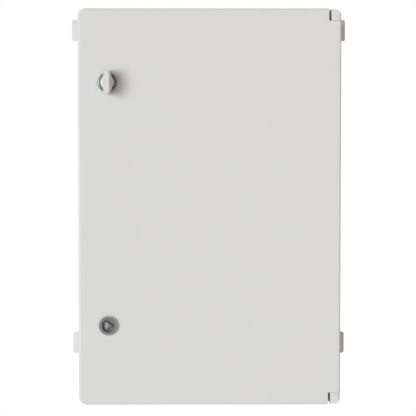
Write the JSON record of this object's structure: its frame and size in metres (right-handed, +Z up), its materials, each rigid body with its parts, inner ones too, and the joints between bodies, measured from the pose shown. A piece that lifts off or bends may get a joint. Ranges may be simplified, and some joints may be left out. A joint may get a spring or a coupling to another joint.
{
  "type": "phone charging kiosk",
  "caption": "Wall-mounted steel charging cabinet with a hinged door, wing knob and key lock, holding upright phone bays over power equipment.",
  "frame": {"origin": "centre of the four wall holes, on the wall's plane", "axes": "+Z up, +X to the right seen from the front, +Y into the wall; the door faces -Y"},
  "size_m": [0.45, 0.2827, 0.6205],
  "materials": {
    "grey_paint": "fine textured powder coat",
    "zinc": "bright zinc plate",
    "knob_metal": "satin die-cast zinc",
    "lock_metal": "dull die-cast zinc",
    "brass": "satin",
    "black_rubber": "matt",
    "black_plastic": "fine moulded grain",
    "grey_plastic": "fine moulded grain",
    "pale_plastic": "semi-gloss",
    "green_lens": "clear green moulding",
    "case_metal": "brushed"
  },
  "bodies": {
    "cabinet": {"body_wrap": "grey_paint", "back_panel": "grey_paint", "front_frame": "grey_paint", "wall_lug_top_left": "grey_paint", "wall_lug_top_right": "grey_paint", "wall_lug_bottom_left": "grey_paint", "wall_lug_bottom_right": "grey_paint", "lug_bolts": "zinc", "hinge_block_top": "grey_paint", "hinge_block_bottom": "grey_paint", "hinge_pins": "zinc", "hinge_block_screws": "zinc", "gland_plate": "zinc", "gland_plate_gasket": "black_rubber", "gland_plate_screws": "zinc", "cable_gland_body": "grey_plastic", "cable_gland_seal": "black_rubber", "cable_gland_nut": "grey_plastic", "cable_gland_locknut": "grey_plastic", "blanking_plug": "grey_plastic", "plate_studs": "zinc", "plate_spacers": "zinc", "plate_nuts": "zinc", "mounting_plate": "zinc", "earth_stud": "brass", "rack_side_left": "grey_paint", "rack_side_right": "grey_paint", "plate_screws": "zinc", "shelf_upper": "grey_paint", "shelf_lower": "grey_paint", "shelf_screws": "zinc", "shelf_dividers": "grey_paint", "shelf_mats": "black_rubber", "charger_bar_upper": "black_plastic", "charger_bar_lower": "black_plastic", "charger_bar_screws": "zinc", "usb_ports": "zinc", "status_lenses": "green_lens", "din_rail": "zinc", "power_supply": "case_metal", "circuit_breaker": "pale_plastic", "terminal_blocks": "grey_plastic", "cable_ducts": "grey_plastic", "duct_covers": "grey_plastic"},
    "door": {"door_panel": "grey_paint", "door_gasket": "black_rubber", "door_rails": "grey_paint", "door_hinge_brackets": "zinc", "hinge_washers": "pale_plastic", "document_pocket": "grey_plastic", "lock_seals": "black_rubber", "lock_nuts": "zinc", "knob_housing": "lock_metal", "key_housing": "lock_metal"},
    "knob": {"wing_knob": "knob_metal", "knob_spindle": "zinc", "knob_cam": "zinc"},
    "key_lock": {"key_core": "lock_metal", "key_cam": "zinc"},
    "toggle": {"breaker_toggle": "black_plastic"}
  },
  "joints": [
    {"name": "door_hinge", "type": "hinge", "parent": "cabinet", "child": "door", "pos_m": [0.191, -0.241, 0], "axis": [0, 0, 1], "range_deg": [0, 120]},
    {"name": "knob_turn", "type": "hinge", "parent": "door", "child": "knob", "pos_m": [-0.155, -0.25, 0.1705], "axis": [0, 1, 0], "range_deg": [0, 90]},
    {"name": "key_lock_turn", "type": "hinge", "parent": "door", "child": "key_lock", "pos_m": [-0.155, -0.25, -0.2005], "axis": [0, 1, 0], "range_deg": [0, 90]},
    {"name": "breaker_toggle", "type": "hinge", "parent": "cabinet", "child": "toggle", "pos_m": [-0.1, -0.085, -0.185], "axis": [1, 0, 0], "range_deg": [0, 70]}
  ]
}
